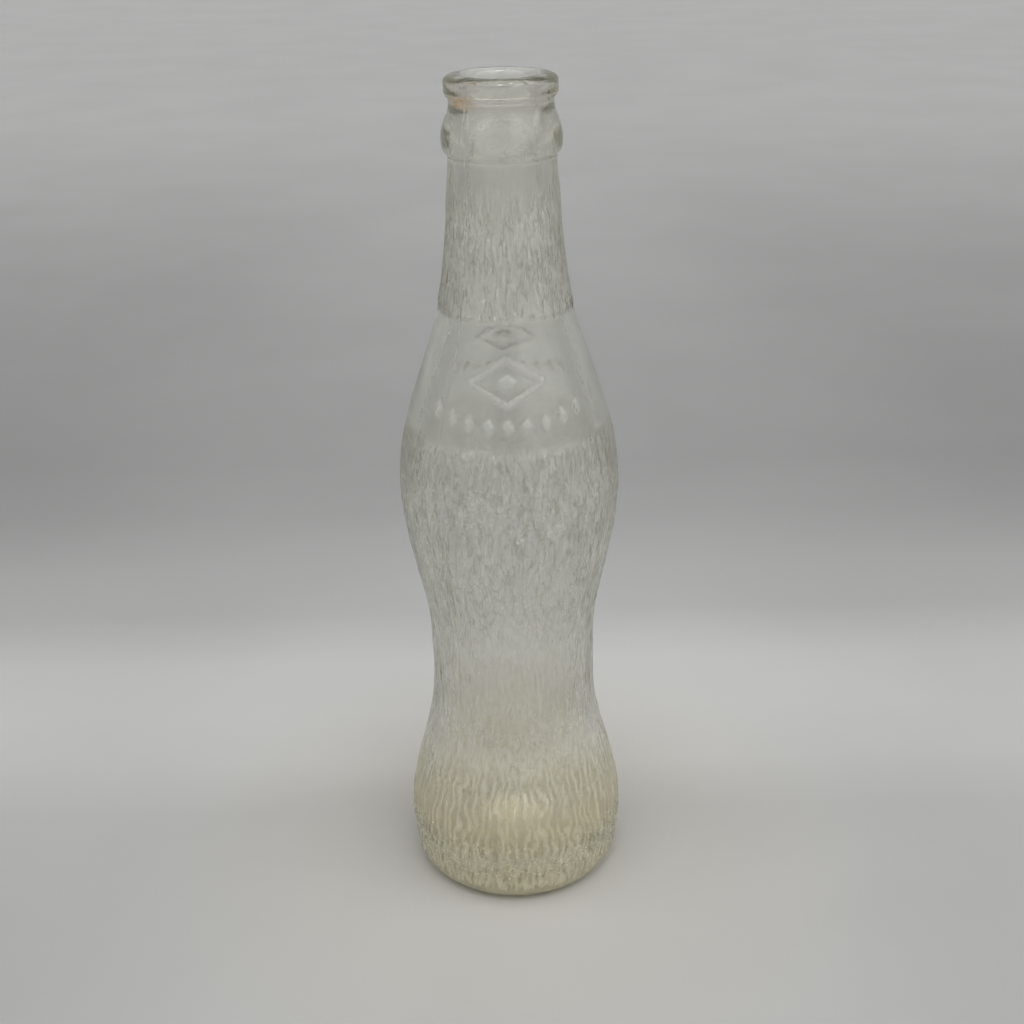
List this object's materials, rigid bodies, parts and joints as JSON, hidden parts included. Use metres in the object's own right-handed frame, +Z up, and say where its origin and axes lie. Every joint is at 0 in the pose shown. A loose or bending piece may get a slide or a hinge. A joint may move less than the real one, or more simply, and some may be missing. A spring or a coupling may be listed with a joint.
{
  "type": "soda bottle",
  "caption": "Clear glass crown-top soda bottle with a bark-textured surface: swelling shoulder with a smooth panel, pinched waist belt and flared skirt on a rounded heel.",
  "frame": {"origin": "centre of the plane the bottle stands on", "axes": "+Z up along the bottle's axis, from the foot to the mouth; the front of the smooth shoulder panel faces -Y"},
  "size_m": [0.0582, 0.0582, 0.2156],
  "materials": {
    "clear_glass": "clear soda-lime glass with a faint straw tint that deepens in the thick base, moulded bark texture outside"
  },
  "bodies": {
    "root": {"glass_bottle": "clear_glass"}
  },
  "joints": []
}
